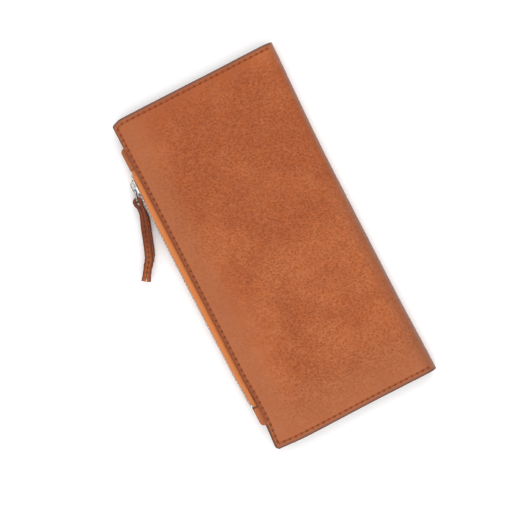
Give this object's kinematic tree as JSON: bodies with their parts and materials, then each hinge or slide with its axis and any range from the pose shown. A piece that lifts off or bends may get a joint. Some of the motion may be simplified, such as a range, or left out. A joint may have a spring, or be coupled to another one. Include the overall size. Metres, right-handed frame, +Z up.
{
  "type": "long zip wallet",
  "caption": "Long folding wallet in pebbled leather with card slots inside and a zipped middle pocket with a leather pull strap.",
  "frame": {"origin": "middle of the back cover's flat outer face, on the surface that the closed wallet lies on", "axes": "+X towards the spine, +Y along the long side towards the end where the closed zip's slider sits, +Z up out of the front cover"},
  "size_m": [0.1142, 0.19, 0.012],
  "materials": {
    "leather_cover": "pebbled, satin, tan",
    "leather_inner": "smooth, satin, tan",
    "leather_pull": "smooth, satin, brown",
    "leather_tab": "smooth, satin, tan",
    "lining_cloth": "fine woven, matt, brown",
    "thread": "waxed thread, dark brown",
    "zip_tape": "woven tape, matt, light tan",
    "zip_metal": "polished nickel"
  },
  "bodies": {
    "back": {"back_cover": "leather_cover", "back_lining": "lining_cloth", "back_bill_panel": "leather_inner", "back_card_slot_1": "leather_inner", "back_card_slot_2": "leather_inner", "back_card_slot_3": "leather_inner", "back_cover_stitching": "thread"},
    "front": {"front_cover": "leather_cover", "front_lining": "lining_cloth", "front_bill_panel": "leather_inner", "front_card_slot_1": "leather_inner", "front_card_slot_2": "leather_inner", "front_card_slot_3": "leather_inner", "front_cover_stitching": "thread"},
    "page": {"cover_spine": "leather_cover", "spine_lining": "lining_cloth", "pocket_front_wall": "leather_inner", "pocket_back_wall": "leather_inner", "pocket_lining": "lining_cloth", "pocket_stitching": "thread", "page_hinge_strip": "leather_inner", "top_end_tab": "leather_tab", "bottom_end_tab": "leather_tab", "zipper_tape_front": "zip_tape", "zipper_tape_back": "zip_tape", "top_stops": "zip_metal", "bottom_stop": "zip_metal"},
    "front_lip": {"zipper_teeth_front": "zip_metal"},
    "back_lip": {"zipper_teeth_back": "zip_metal"},
    "slider": {"slider_body": "zip_metal", "slider_bridge": "zip_metal"},
    "link": {"pull_link": "zip_metal"},
    "strap": {"pull_strap": "leather_pull", "strap_stitching": "thread"}
  },
  "joints": [
    {"name": "back_fold", "type": "hinge", "parent": "back", "child": "page", "pos_m": [0.04416, 0, 0.00184], "axis": [0, 1, 0], "range_deg": [0, 90], "deforming": ["cover_spine", "spine_lining"]},
    {"name": "front_fold", "type": "hinge", "parent": "page", "child": "front", "pos_m": [0.04416, 0, 0.01016], "axis": [0, 1, 0], "range_deg": [0, 90], "deforming": ["cover_spine", "spine_lining"]},
    {"name": "slider_travel", "type": "slide", "parent": "page", "child": "slider", "axis": [0, -1, 0], "range_m": [0, 0.122]},
    {"name": "front_lip_roll", "type": "hinge", "parent": "page", "child": "front_lip", "pos_m": [-0.04645, 0, 0.0088], "axis": [0, 1, 0], "range_deg": [0, 50], "deforming": ["zipper_tape_front", "zipper_teeth_front"]},
    {"name": "back_lip_roll", "type": "hinge", "parent": "page", "child": "back_lip", "pos_m": [-0.04645, 0, 0.0032], "axis": [0, -1, 0], "range_deg": [0, 50], "deforming": ["zipper_tape_back", "zipper_teeth_back"]},
    {"name": "link_swing", "type": "hinge", "parent": "slider", "child": "link", "pos_m": [-0.0506, 0.0586, 0.006], "axis": [0, 0, -1], "range_deg": [0, 90]},
    {"name": "strap_swing", "type": "hinge", "parent": "link", "child": "strap", "pos_m": [-0.0523, 0.0525, 0.006], "axis": [0, 0, -1], "range_deg": [0, 60]}
  ],
  "couplings": [
    {"joint": "front_lip_roll", "follows": "slider_travel", "rad_per_m": 7.1458},
    {"joint": "back_lip_roll", "follows": "slider_travel", "rad_per_m": 7.1458}
  ]
}
